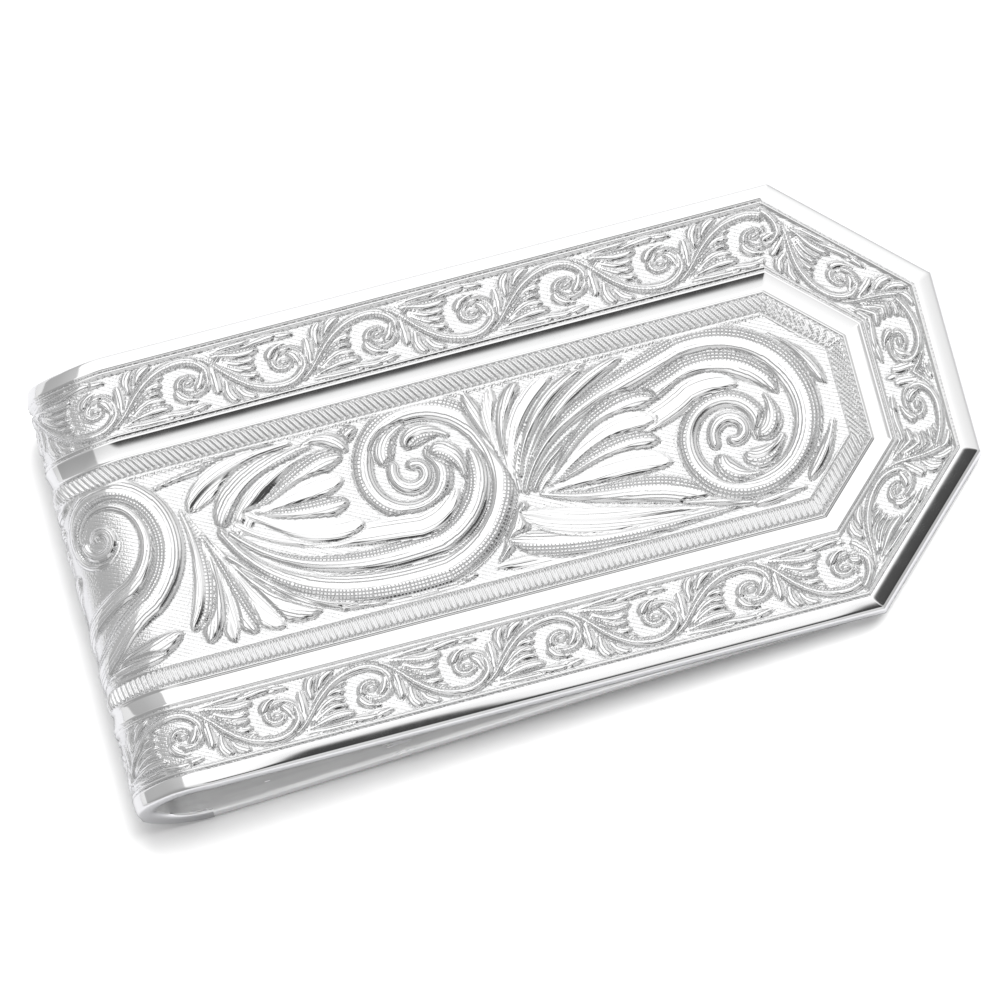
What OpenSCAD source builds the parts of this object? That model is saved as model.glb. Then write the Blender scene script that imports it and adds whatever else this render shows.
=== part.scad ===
// Money clip formed from one strip of plated metal: a long front plate with a
// cornered tip, a rounded bow and a spring leaf that folds back under the plate.
// Units are millimetres, +Z is up, and the clip lies on its leaf on the z = 0 plane.
// The strip is drawn with the front plate level and then laid down on the leaf.

/* [Overall] */
// Length from the bow to the tip
clip_length = 54; // [46:0.5:66]
// Width of the front plate
clip_width = 27.6; // [23:0.1:34]
// Height from the belly of the leaf to the face of the plate
clip_height = 7; // [6.4:0.1:8.8]
// Thickness of the front plate and the bow
strip_thickness = 1.2; // [0.9:0.05:1.5]
// Thickness of the spring leaf
leaf_thickness = 1.1; // [0.8:0.05:1.5]

/* [Tip] */
// How far the two corners of the tip are cut back at 45 degrees
tip_cut = 8; // [4:0.1:10]

/* [Bow] */
// Radius where the plate starts to turn down
shoulder_radius = 6.2; // [5:0.1:7.4]
// Radius at the nose of the bow
nose_radius = 2.2; // [2:0.1:2.8]
// Turn of the shoulder before the nose begins, in degrees
shoulder_turn = 40; // [30:1:48]
// Turn at the end of the nose, in degrees
nose_turn = 110; // [100:1:118]
// How much narrower the bow gets on each side
bow_inset = 0.15; // [0:0.05:1]

/* [Spring leaf] */
// Distance from the leaf's tip back to the start of the plate's cut corners
leaf_setback = 1.5; // [0.5:0.1:6]
// Gap between the leaf's tip and the plate at rest
tip_gap = 0.4; // [0.3:0.05:1.2]
// Flat run between the bow and the belly bend of the leaf
belly_run = 2; // [1.2:0.1:3]
// Run of the flattened end of the leaf
toe_run = 11.5; // [7:0.5:14]
// Slope of the flattened end against the plate, in degrees
toe_slope = 1.5; // [0:0.5:3]
// How much narrower than the plate the leaf is at its tip, on each side
leaf_inset = 0.45; // [0.1:0.05:1]
// Corner radius of the leaf's tip
leaf_corner = 1.5; // [0.5:0.1:4]
// Slit between the bow and the leaf, where the strip flexes
flex_slit = 0.1; // [0.05:0.01:0.2]

/* [Face] */
// Width of the polished rim along the sides
rim_side = 0.95; // [0.6:0.05:1.4]
// Width of the polished rim round the tip
rim_tip = 1.15; // [0.6:0.05:1.6]
// Width of the engraved border along the sides
border_side = 4.5; // [3.5:0.1:5]
// Width of the engraved border round the tip
border_tip = 3.8; // [3:0.1:4.5]
// Width of the polished channel inside the border
channel_width = 1.1; // [0.7:0.05:1.5]
// Width of the rope border inside the channel
rope_width = 1.3; // [0.8:0.1:1.8]
// Depth of the engraved border and the centre field
field_depth = 0.15; // [0.05:0.01:0.25]
// Depth of the polished channel
channel_depth = 0.25; // [0.1:0.01:0.35]

/* [Hidden] */
$fn = 96;
clearance = 1;
turn_step = 4;
silver = [0.86, 0.86, 0.87];

// Bow: three tangent arcs, each given by its centre in x and z.
plate_start = nose_radius + (shoulder_radius - nose_radius) * sin(shoulder_turn);
heel_radius = (clip_height - shoulder_radius
    + (shoulder_radius - nose_radius) * cos(shoulder_turn)
    + nose_radius * cos(nose_turn)) / (1 + cos(nose_turn));
shoulder_centre = [plate_start, clip_height - shoulder_radius];
nose_centre = shoulder_centre
    + (shoulder_radius - nose_radius) * [-sin(shoulder_turn), cos(shoulder_turn)];
heel_centre = nose_centre
    + (nose_radius - heel_radius) * [-sin(nose_turn), cos(nose_turn)];
leaf_start = heel_centre[0] + flex_slit;
bow_width = clip_width - 2 * bow_inset;

// Leaf: level run, bend up at the belly, straight rise, bend back at the toe.
leaf_end = clip_length - tip_cut - leaf_setback;
leaf_end_height = clip_height - strip_thickness - tip_gap - leaf_thickness;
belly_knee = leaf_start + belly_run;
toe_knee = leaf_end - toe_run;
toe_knee_height = leaf_end_height - toe_run * tan(toe_slope);
leaf_slope = atan2(toe_knee_height, toe_knee - belly_knee);
belly_radius = belly_run / tan(leaf_slope / 2);
toe_tangent = toe_run * 0.85;
toe_radius = toe_tangent / tan((leaf_slope - toe_slope) / 2);
belly_centre = [leaf_start, belly_radius];
toe_start = [toe_knee - toe_tangent * cos(leaf_slope), toe_knee_height - toe_tangent * sin(leaf_slope)];
toe_centre = toe_start + toe_radius * [sin(leaf_slope), -cos(leaf_slope)];
toe_arc_end = toe_centre + toe_radius * [-sin(toe_slope), cos(toe_slope)];
rise_start = belly_centre + belly_radius * [sin(leaf_slope), -cos(leaf_slope)];
rise_length = norm(toe_start - rise_start);

// Rest: the clip stands on the belly bend and the lower edge of the leaf's tip.
to_tip = [leaf_end, leaf_end_height] - belly_centre;
rest_tilt = 90 + atan2(to_tip[1], to_tip[0]) - acos(belly_radius / norm(to_tip));
function laid(p) = [p[0] * cos(rest_tilt) + p[1] * sin(rest_tilt), p[1] * cos(rest_tilt) - p[0] * sin(rest_tilt)];
rest_drop = laid(belly_centre)[1] - belly_radius;
rest_left = laid(nose_centre)[0] - nose_radius;
rest_right = laid([clip_length, clip_height])[0];

// Outline of the plate moved inwards by side along its edges and by tip round its tip.
function tip_outline(side, tip) =
    let (half = clip_width / 2 - side,
         end = clip_length - tip,
         cut = clip_length + clip_width / 2 - tip_cut - tip * sqrt(2))
    [[plate_start, -half], [cut - half, -half], [end, end - cut],
     [end, cut - end], [cut - half, half], [plate_start, half]];

rim = [rim_side, rim_tip];
border = rim + [border_side, border_tip];
channel = border + channel_width * [1, 1];
rope = channel + rope_width * [1, 1];

// Points of an arc that starts level and turns over, seen from the near side.
function turn(centre, radius, from, to) =
    let (steps = ceil(abs(to - from) / turn_step))
    [for (i = [0:steps]) let (a = from + (to - from) * i / steps) centre + radius * [-sin(a), cos(a)]];

function reverse(points) = [for (i = [len(points) - 1:-1:0]) points[i]];
function tail(points) = [for (i = [1:len(points) - 1]) points[i]];

// Line of the bow at a depth below its outer surface, with or without the heel.
function face_line(depth) = concat(
    turn(shoulder_centre, shoulder_radius - depth, 0, shoulder_turn),
    tail(turn(nose_centre, nose_radius - depth, shoulder_turn, nose_turn)));
function bow_line(depth) = concat(
    face_line(depth),
    tail(turn(heel_centre, heel_radius - depth, nose_turn, 180)));

// Line of the leaf at a height above its lower surface.
function leaf_line(rise) = concat(
    turn(belly_centre, belly_radius - rise, 180, 180 + leaf_slope),
    turn(toe_centre, toe_radius + rise, leaf_slope, toe_slope),
    [toe_arc_end + toe_run * [cos(toe_slope), sin(toe_slope)] + rise * [-sin(toe_slope), cos(toe_slope)]]);

// Side profile extruded across the clip between two places.
module across(from, to)
    translate([0, to, 0])
        rotate([90, 0, 0])
            linear_extrude(to - from)
                children();

// Shallow groove over the bow between two insets from its edge, on both sides.
module bow_groove(outer, inner, depth)
    for (edge = [outer - clip_width / 2, clip_width / 2 - inner])
        across(edge, edge + inner - outer)
            polygon(concat(face_line(-clearance), reverse(face_line(depth))));

module face_band(outer, inner, depth)
    translate([0, 0, clip_height - depth])
        linear_extrude(depth + clearance)
            difference() {
                polygon(tip_outline(outer[0], outer[1]));
                polygon(tip_outline(inner[0], inner[1]));
            }

module front_plate_level()
    difference() {
        translate([0, 0, clip_height - strip_thickness])
            linear_extrude(strip_thickness)
                polygon(tip_outline(0, 0));
        face_band(rim, border, field_depth);
        face_band(border, channel, channel_depth);
        translate([0, 0, clip_height - field_depth])
            linear_extrude(field_depth + clearance)
                polygon(tip_outline(rope[0], rope[1]));
    }

// The bow narrows from the plate's width at the shoulder to its own width at the nose and heel.
module bow_outline() {
    translate([0, 0, nose_centre[1]])
        linear_extrude(clip_height)
            polygon([[-clearance, -bow_width / 2], [nose_radius, -bow_width / 2],
                [plate_start, -clip_width / 2], [plate_start, clip_width / 2],
                [nose_radius, bow_width / 2], [-clearance, bow_width / 2]]);
    translate([-clearance, -bow_width / 2, -clearance])
        cube([heel_centre[0] + clearance, bow_width, nose_centre[1] + clearance]);
}

module bow_level()
    intersection() {
        difference() {
            across(-clip_width / 2, clip_width / 2)
                polygon(concat(bow_line(0), reverse(bow_line(strip_thickness))));
            bow_groove(rim[0], border[0], field_depth);
            bow_groove(border[0], channel[0], channel_depth);
            bow_groove(rope[0], clip_width / 2, field_depth);
        }
        bow_outline();
    }

// Rounded, slightly widening outline of the leaf seen from above.
module leaf_outline()
    translate([0, 0, -clearance])
        linear_extrude(clip_height + 2 * clearance)
            union() {
                polygon([[leaf_start, -bow_width / 2], [leaf_end - leaf_corner, leaf_inset - clip_width / 2],
                    [leaf_end - leaf_corner, clip_width / 2 - leaf_inset], [leaf_start, bow_width / 2]]);
                translate([leaf_end - 2 * leaf_corner, leaf_inset + leaf_corner - clip_width / 2])
                    square([2 * leaf_corner, clip_width - 2 * leaf_inset - 2 * leaf_corner]);
                for (side = [-1, 1])
                    translate([leaf_end - leaf_corner, side * (clip_width / 2 - leaf_inset - leaf_corner)])
                        circle(leaf_corner);
            }

module spring_leaf_level()
    intersection() {
        across(-clip_width / 2, clip_width / 2)
            polygon(concat(leaf_line(0), reverse(leaf_line(leaf_thickness))));
        leaf_outline();
    }

// Lays the level clip down on its leaf, centred over the origin.
module at_rest()
    translate([-(rest_left + rest_right) / 2, 0, -rest_drop])
        rotate([0, rest_tilt, 0])
            children();

module front_plate() color(silver) at_rest() front_plate_level();

module bow() color(silver) at_rest() bow_level();

module spring_leaf() color(silver) at_rest() spring_leaf_level();

front_plate();
bow();
spring_leaf();
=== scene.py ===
import math

import bmesh
import bpy
import numpy as np
from mathutils import Matrix, Vector

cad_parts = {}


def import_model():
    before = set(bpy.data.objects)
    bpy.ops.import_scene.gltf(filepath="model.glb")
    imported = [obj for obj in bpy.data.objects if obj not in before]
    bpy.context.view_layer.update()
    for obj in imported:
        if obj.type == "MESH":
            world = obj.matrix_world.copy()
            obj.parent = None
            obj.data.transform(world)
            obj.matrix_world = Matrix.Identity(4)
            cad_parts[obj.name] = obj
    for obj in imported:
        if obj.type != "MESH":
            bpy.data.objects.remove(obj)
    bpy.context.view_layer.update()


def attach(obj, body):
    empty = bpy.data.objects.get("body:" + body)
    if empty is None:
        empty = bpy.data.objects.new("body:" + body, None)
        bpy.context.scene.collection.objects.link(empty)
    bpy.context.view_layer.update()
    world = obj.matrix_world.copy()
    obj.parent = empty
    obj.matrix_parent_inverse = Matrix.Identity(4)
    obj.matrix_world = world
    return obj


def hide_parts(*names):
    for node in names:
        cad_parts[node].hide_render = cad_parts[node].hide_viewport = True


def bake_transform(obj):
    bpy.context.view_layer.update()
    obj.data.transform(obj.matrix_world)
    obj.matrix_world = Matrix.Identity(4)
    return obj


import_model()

# -------- sizes (mm), as in the CAD source
LENGTH, WIDTH, HEIGHT, THICK = 54.0, 27.6, 7.0, 1.2
CUT = 8.0
SHOULDER_R, NOSE_R = 6.2, 2.2
SHOULDER_TURN, NOSE_TURN = math.radians(40), math.radians(110)
BOW_INSET = 0.15
LEAF_THICK, SETBACK, TIP_GAP = 1.1, 1.5, 0.4
BELLY_RUN, TOE_RUN, TOE_SLOPE = 2.0, 11.5, math.radians(1.5)
LEAF_INSET, LEAF_CORNER, SLIT = 0.45, 1.5, 0.1
# Inset of each band's inner edge from the outline, along the sides and round the tip.
RIM = (0.95, 1.15)
BORDER = (5.45, 4.95)
CHANNEL = (6.55, 6.05)
ROPE = (7.85, 7.35)
HALF = WIDTH / 2


def spot(centre, radius, angle):
    """Point (x, z) on an arc, the angle counted from straight up towards the bow."""
    return (centre[0] - radius * math.sin(angle), centre[1] + radius * math.cos(angle))


PLATE_X = NOSE_R + (SHOULDER_R - NOSE_R) * math.sin(SHOULDER_TURN)
HEEL_R = (HEIGHT - SHOULDER_R + (SHOULDER_R - NOSE_R) * math.cos(SHOULDER_TURN)
          + NOSE_R * math.cos(NOSE_TURN)) / (1 + math.cos(NOSE_TURN))
C1 = (PLATE_X, HEIGHT - SHOULDER_R)
C2 = spot(C1, SHOULDER_R - NOSE_R, SHOULDER_TURN)
C3 = spot(C2, NOSE_R - HEEL_R, NOSE_TURN)
ARC1 = SHOULDER_R * SHOULDER_TURN
ARC2 = NOSE_R * (NOSE_TURN - SHOULDER_TURN)
ARC3 = HEEL_R * (math.pi - NOSE_TURN)
# Length of the strip from the plate's end to the end of the nose, and to the end of the heel.
BEND = ARC1 + ARC2
FULL = BEND + ARC3

LEAF_X = C3[0] + SLIT
LEAF_END = LENGTH - CUT - SETBACK
LEAF_END_Z = HEIGHT - THICK - TIP_GAP - LEAF_THICK
TOE_X = LEAF_END - TOE_RUN
TOE_Z = LEAF_END_Z - TOE_RUN * math.tan(TOE_SLOPE)
SLOPE = math.atan2(TOE_Z, TOE_X - LEAF_X - BELLY_RUN)
BELLY_R = BELLY_RUN / math.tan(SLOPE / 2)
BELLY_C = (LEAF_X, BELLY_R)
TANGENT = TOE_RUN * 0.85
TOE_R = TANGENT / math.tan((SLOPE - TOE_SLOPE) / 2)
TOE_S = (TOE_X - TANGENT * math.cos(SLOPE), TOE_Z - TANGENT * math.sin(SLOPE))
TOE_C = (TOE_S[0] + TOE_R * math.sin(SLOPE), TOE_S[1] - TOE_R * math.cos(SLOPE))
REACH = math.hypot(LEAF_END - BELLY_C[0], LEAF_END_Z - BELLY_C[1])
TILT = math.pi / 2 + math.atan2(LEAF_END_Z - BELLY_C[1], LEAF_END - BELLY_C[0]) - math.acos(BELLY_R / REACH)
CT, ST = math.cos(TILT), math.sin(TILT)
DROP = BELLY_C[1] * CT - BELLY_C[0] * ST - BELLY_R
LEFT = C2[0] * CT + C2[1] * ST - NOSE_R
RIGHT = LENGTH * CT + HEIGHT * ST
SHIFT = -(LEFT + RIGHT) / 2


def world(x, y, z):
    """Plate frame (mm, plate level) to the shared frame (m, lying on the leaf)."""
    x, y, z = np.broadcast_arrays(np.asarray(x, float), y, z)
    return np.stack([x * CT + z * ST + SHIFT, y, z * CT - x * ST - DROP], -1) / 1000


def turned(x, y, z):
    """Direction in the plate frame, turned with the clip into the shared frame."""
    return Vector((x * CT + z * ST, y, z * CT - x * ST))


def skin(s, y, h):
    """Point at s along the strip's outer face (0 where the plate ends), y across, h above it."""
    s, y, h = np.broadcast_arrays(np.asarray(s, float), y, h)
    d = -s
    shoulder, nose = d < ARC1, d < BEND
    angle = np.where(shoulder, d / SHOULDER_R,
                     np.where(nose, SHOULDER_TURN + (d - ARC1) / NOSE_R, NOSE_TURN + (d - BEND) / HEEL_R))
    cx = np.where(shoulder, C1[0], np.where(nose, C2[0], C3[0]))
    cz = np.where(shoulder, C1[1], np.where(nose, C2[1], C3[1]))
    r = np.where(shoulder, SHOULDER_R, np.where(nose, NOSE_R, HEEL_R))
    x = cx - r * np.sin(angle)
    narrow = np.where(angle < math.pi / 2, np.clip((PLATE_X - x) / (PLATE_X - NOSE_R), 0, 1), 1)
    flat = s >= 0
    scale = np.where(flat, 1, 1 - narrow * BOW_INSET / HALF)
    x = np.where(flat, PLATE_X + s, cx - (r + h) * np.sin(angle))
    z = np.where(flat, HEIGHT + h, cz + (r + h) * np.cos(angle))
    return world(x, y * scale, z)


# -------- carving
def smooth(t):
    t = np.clip(t, 0, 1)
    return t * t * (3 - 2 * t)


def bezier(p0, p1, p2, p3, n=18):
    t = np.linspace(0, 1, n)[:, None]
    p0, p1, p2, p3 = (np.asarray(p, float) for p in (p0, p1, p2, p3))
    return (1 - t) ** 3 * p0 + 3 * (1 - t) ** 2 * t * p1 + 3 * (1 - t) * t * t * p2 + t ** 3 * p3


def spiral(centre, r0, r1, start, turns, n=40):
    t = np.linspace(0, 1, n)
    r = r0 * (r1 / r0) ** t
    a = math.radians(start) + 2 * math.pi * turns * t
    return np.stack([centre[0] + r * np.cos(a), centre[1] + r * np.sin(a)], -1)


# Factors on the drawn half widths of leaves and stems, and what is added to a leaf's root.
FULL_LEAF, FULL_STEM, FULL_ROOT = 1.72, 1.14, 0.12
# Heights over the face (mm): the bare ground and the bottom of the moat round each leaf.
GROUND, FLOOR = -0.2, -0.23


def leaf_width(w, peak=0.72, root=0.12):
    """Half width along a leaf: thin root, widest at peak, round tip."""
    w, root = w * FULL_LEAF, root + FULL_ROOT

    def at(t):
        up = root + (1 - root) * smooth(t / peak)
        down = np.sqrt(np.clip(1 - ((t - peak) / (1 - peak)) ** 2, 0.02, 1))
        return w * np.where(t < peak, up, down)
    return at


def stem_width(w0, w1, w2, peak=0.4):
    """Half width along a stem: w0 at the root, w1 at peak, w2 at the end."""
    w0, w1, w2 = (FULL_STEM * w for w in (w0, w1, w2))

    def at(t):
        rise = w0 + (w1 - w0) * smooth(t / peak)
        fall = w1 + (w2 - w1) * smooth((t - peak) / (1 - peak))
        return np.where(t < peak, rise, fall)
    return at


class Relief:
    """Height field of carved leaves over a sunken ground, with flow lines for the graver's cuts."""

    def __init__(self, x0, x1, y0, y1, step):
        self.x0, self.y0, self.step = x0, y0, step
        self.nx, self.ny = int(round((x1 - x0) / step)) + 1, int(round((y1 - y0) / step)) + 1
        self.h = np.full((self.nx, self.ny), GROUND)
        self.across = np.zeros_like(self.h)
        self.along = np.zeros_like(self.h)
        self.lines = np.zeros_like(self.h)
        self.beads = np.zeros_like(self.h)
        self.bare = np.ones_like(self.h)

    def stroke(self, pts, width, top=-0.03, crown=0.09, hollow=0.0, lean=0.0, moat=0.09, edge=0.2,
               lines=1.0, beads=0.0):
        """Carve one leaf or stem along pts; negative beads run along its other edge."""
        pts = np.asarray(pts, float)
        seg = pts[1:] - pts[:-1]
        length = np.hypot(seg[:, 0], seg[:, 1])
        run = np.concatenate([[0], np.cumsum(length)])
        w = width(run / run[-1])
        pad = w.max() + moat + self.step
        lo = np.floor(((pts.min(0) - pad) - (self.x0, self.y0)) / self.step).astype(int)
        hi = np.ceil(((pts.max(0) + pad) - (self.x0, self.y0)) / self.step).astype(int)
        i0, j0 = max(lo[0], 0), max(lo[1], 0)
        i1, j1 = min(hi[0], self.nx - 1) + 1, min(hi[1], self.ny - 1) + 1
        if i0 >= i1 or j0 >= j1:
            return
        gx, gy = np.meshgrid(self.x0 + np.arange(i0, i1) * self.step,
                             self.y0 + np.arange(j0, j1) * self.step, indexing="ij")
        best = np.full(gx.shape, 1e9)
        dist = np.zeros_like(gx)
        wide = np.ones_like(gx)
        where = np.zeros_like(gx)
        sign = np.ones_like(gx)
        for k in range(len(seg)):
            if length[k] < 1e-9:
                continue
            ux, uy = seg[k] / length[k]
            dx, dy = gx - pts[k, 0], gy - pts[k, 1]
            t = np.clip(dx * ux + dy * uy, 0, length[k])
            cx, cy = dx - t * ux, dy - t * uy
            d = np.hypot(cx, cy)
            ww = w[k] + (w[k + 1] - w[k]) * t / length[k]
            ratio = d / ww
            near = ratio < best
            best = np.where(near, ratio, best)
            dist = np.where(near, d, dist)
            wide = np.where(near, ww, wide)
            where = np.where(near, run[k] + t, where)
            sign = np.where(near, np.where(ux * dy - uy * dx >= 0, 1.0, -1.0), sign)
        f = np.clip(best, 0, 1) * sign
        groove = np.exp(-((f - 0.25) / 0.42) ** 2)
        body = top - crown * f * f - hollow * groove + lean * f
        rim = np.minimum(edge, wide * 0.45)
        fall = smooth((dist - (wide - rim)) / rim)
        inside = dist < wide
        body = body + (FLOOR - body) * fall
        sl = (slice(i0, i1), slice(j0, j1))
        old = self.h[sl]
        ditch = np.minimum(old, FLOOR + (old - FLOOR) * smooth((dist - wide) / moat))
        self.h[sl] = np.where(inside, body, np.where(dist < wide + moat, ditch, old))
        # cuts and beads keep off the leaf's edge and its middle rib
        keep = (1 - smooth((dist - wide * 0.82) / (wide * 0.18))) * smooth((np.abs(f) - 0.12) / 0.15)
        self.across[sl] = np.where(inside, f * wide, self.across[sl])
        self.along[sl] = np.where(inside, where, self.along[sl])
        self.lines[sl] = np.where(inside, lines * keep, self.lines[sl])
        half = f if beads >= 0 else -f
        band = abs(beads) * smooth(half / 0.25 - 0.4) * keep
        self.beads[sl] = np.where(inside, band, self.beads[sl])
        # bare is 0 on a leaf, rises to 1 over its rounded edge and stays 1 off it; the material puts painted
        # shade and stipple where it is high
        self.bare[sl] = np.where(inside, fall, self.bare[sl])

    def soften(self, passes=2):
        """Smooth the heights with a small 1-2-1 filter."""
        for _ in range(passes):
            for axis in (0, 1):
                p = np.concatenate([np.take(self.h, [0], axis), self.h, np.take(self.h, [-1], axis)], axis)
                n = self.h.shape[axis]
                a, b, c = (np.take(p, range(k, k + n), axis) for k in (0, 1, 2))
                self.h = (a + 2 * b + c) / 4
        return self

    def sample(self, x, y):
        """Values at x, y; across and along come from the nearest point of the grid."""
        u = np.clip((x - self.x0) / self.step, 0, self.nx - 1.001)
        v = np.clip((y - self.y0) / self.step, 0, self.ny - 1.001)
        i, j = u.astype(int), v.astype(int)
        fu, fv = u - i, v - j
        out = []
        for g in (self.h, self.bare, self.lines, self.beads):
            out.append(g[i, j] * (1 - fu) * (1 - fv) + g[i + 1, j] * fu * (1 - fv)
                       + g[i, j + 1] * (1 - fu) * fv + g[i + 1, j + 1] * fu * fv)
        near = (np.round(u).astype(int), np.round(v).astype(int))
        return out + [self.across[near], self.along[near]]


# -------- running scroll of the border
UNIT = 5.8
PANEL = 4.5


def flip(pts, x, side):
    pts = np.asarray(pts, float)
    return np.stack([x + pts[:, 0], pts[:, 1] * side], -1)


def border_unit(r, x, side):
    """One unit of the running scroll at x, mirrored where side is -1."""
    def put(pts, width, **kw):
        r.stroke(flip(pts, x, side), width, **kw)

    hub = (3.95, 0.12)
    # corner leaves behind the stem
    put(bezier((0.9, 0.5), (0.9, 1.2), (1.0, 1.8), (1.9, 2.12)), leaf_width(0.24), top=-0.07)
    put(bezier((0.5, 0.1), (0.2, 1.0), (0.3, 1.6), (0.75, 2.05)), leaf_width(0.26), top=-0.07)
    put(bezier((-0.3, -1.1), (-0.2, 0.0), (-0.2, 0.7), (-0.25, 1.2)), leaf_width(0.22), top=-0.08)
    # bottom tail
    put(bezier((-0.4, -1.9), (1.4, -2.2), (2.8, -2.2), (4.9, -1.75)), leaf_width(0.27, 0.6), top=-0.05)
    put(bezier((1.4, -1.7), (2.4, -1.75), (3.2, -2.1), (3.9, -1.95)), leaf_width(0.2), top=-0.05)
    # plume
    tips = ((2.5, 1.08), (2.3, 0.5), (2.2, -0.12), (2.25, -0.74), (2.6, -1.35))
    for k, tip in enumerate(tips):
        u = k / (len(tips) - 1)
        first, second = (0.35 + 0.45 * u, -1.3 - 0.25 * u), (0.9 + 0.3 * u, 1.15 - 2.2 * u)
        put(bezier((-0.75 + 0.1 * k, -1.72), first, second, tip), leaf_width(0.33 - 0.05 * u, 0.7, 0.06),
            top=-0.03, hollow=0.05 * (k % 2), lean=0.03, beads=0.9 if k % 2 == 0 else 0.0)
    # stem and volute
    winding = spiral(hub, 1.8, 0.36, 112, -1.28, 44)
    stem = np.concatenate([bezier((-0.95, -1.75), (0.1, -1.2), (0.9, 1.5), winding[0], 16), winding[1:]])
    put(stem, stem_width(0.1, 0.36, 0.2, 0.5), top=-0.01, crown=0.08, beads=-0.8)
    # inner leaves of the volute
    put(bezier((4.9, 0.7), (4.75, 0.2), (4.7, -0.2), (4.35, -0.45)), leaf_width(0.2), top=-0.04)
    put(bezier((4.2, -1.25), (3.6, -1.2), (3.2, -0.8), (3.15, -0.35)), leaf_width(0.22), top=-0.04)
    dot = np.array([[hub[0] - 0.05, hub[1]], [hub[0] + 0.08, hub[1] + 0.03]])
    put(dot, lambda t: np.full(len(t), 0.3), top=0.0, crown=0.14)


def border_relief():
    """Two units, one of them mirrored, with what the units beside them add."""
    r = Relief(0, 2 * UNIT, -PANEL / 2, PANEL / 2, 0.05)
    for k in range(-2, 5):
        border_unit(r, k * UNIT, 1 if k % 2 == 0 else -1)
    return r.soften(2)


# -------- centre field
def plume(r, root, tips, low, high, w, **kw):
    """Leaves fanned from one root; low and high are the handles of the outer leaves."""
    n = len(tips)
    for k, tip in enumerate(tips):
        u = k / (n - 1)
        a = [low[0][c] + (high[0][c] - low[0][c]) * u for c in (0, 1)]
        b = [low[1][c] + (high[1][c] - low[1][c]) * u for c in (0, 1)]
        opt = dict(kw)
        if k % 2:
            opt["hollow"] = opt.get("hollow", 0.0) + 0.10
            opt["beads"] = 0.0
            opt["lines"] = 0.15
        r.stroke(bezier(root, a, b, tip, 22), leaf_width(w[k], 0.68, 0.08), **opt)


def sweep(hub, root, handle, a0, r0, a1, r1, n=70):
    """Line from a root that runs into a winding round the hub, from angle a0 to a1."""
    way = 1 if a1 > a0 else -1
    a = math.radians(a0)
    first = (hub[0] + r0 * math.cos(a), hub[1] + r0 * math.sin(a))
    reach = 0.42 * math.dist(first, root)
    second = (first[0] + way * math.sin(a) * reach, first[1] - way * math.cos(a) * reach)
    winding = spiral(hub, r0, r1, a0, (a1 - a0) / 360, n)
    return np.concatenate([bezier(root, handle, second, first, 22), winding[1:]])


def petals(r, hub, way, angles, reach=3.0, w=0.42):
    """Small leaves set round a hub, bending with the winding."""
    for k, at in enumerate(angles):
        a, b = math.radians(at), math.radians(at + way * 50)
        polar = ((reach, a), (reach * 0.98, a + (b - a) * 0.5),
                 (reach * 0.78, b), (reach * 0.56, b + (b - a) * 0.1))
        p = [(hub[0] + q * math.cos(t), hub[1] + q * math.sin(t)) for q, t in polar]
        r.stroke(bezier(*p), leaf_width(w, 0.7), top=-0.02, crown=0.12, hollow=0.09 * (k % 2), beads=0.8)


def leaves(r, table, peak, n=18):
    """Broad leaves, each given by its root, two handles, its tip and its width."""
    for a, b, c, d, w in table:
        r.stroke(bezier(a, b, c, d, n), leaf_width(w, peak), top=-0.02, crown=0.15)


def worked_leaf(r, line, width, hollow, crown=0.13, sparse=0.2, beads=0.9):
    """Leaf that is either hollow with faint cuts, or full with strong cuts and a row of beads."""
    r.stroke(line, width, top=-0.03, crown=crown, hollow=hollow,
             lines=sparse if hollow else 1.0, beads=0.0 if hollow else beads)


def inner_leaves(r, hub, table):
    """Leaves inside a scroll: root, handle, first angle and radius, last angle and radius, width, hollow."""
    for root, handle, a0, r0, a1, r1, w, hollow in table:
        worked_leaf(r, sweep(hub, root, handle, a0, r0, a1, r1, 24), leaf_width(w, 0.74, 0.1), hollow, 0.14)


def eye(r, hub, r0, r1, start, turns, widths):
    """Small winding in the middle of a scroll."""
    r.stroke(spiral(hub, r0, r1, start, turns, 24), stem_width(*widths), top=0.0, crown=0.12)


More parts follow.
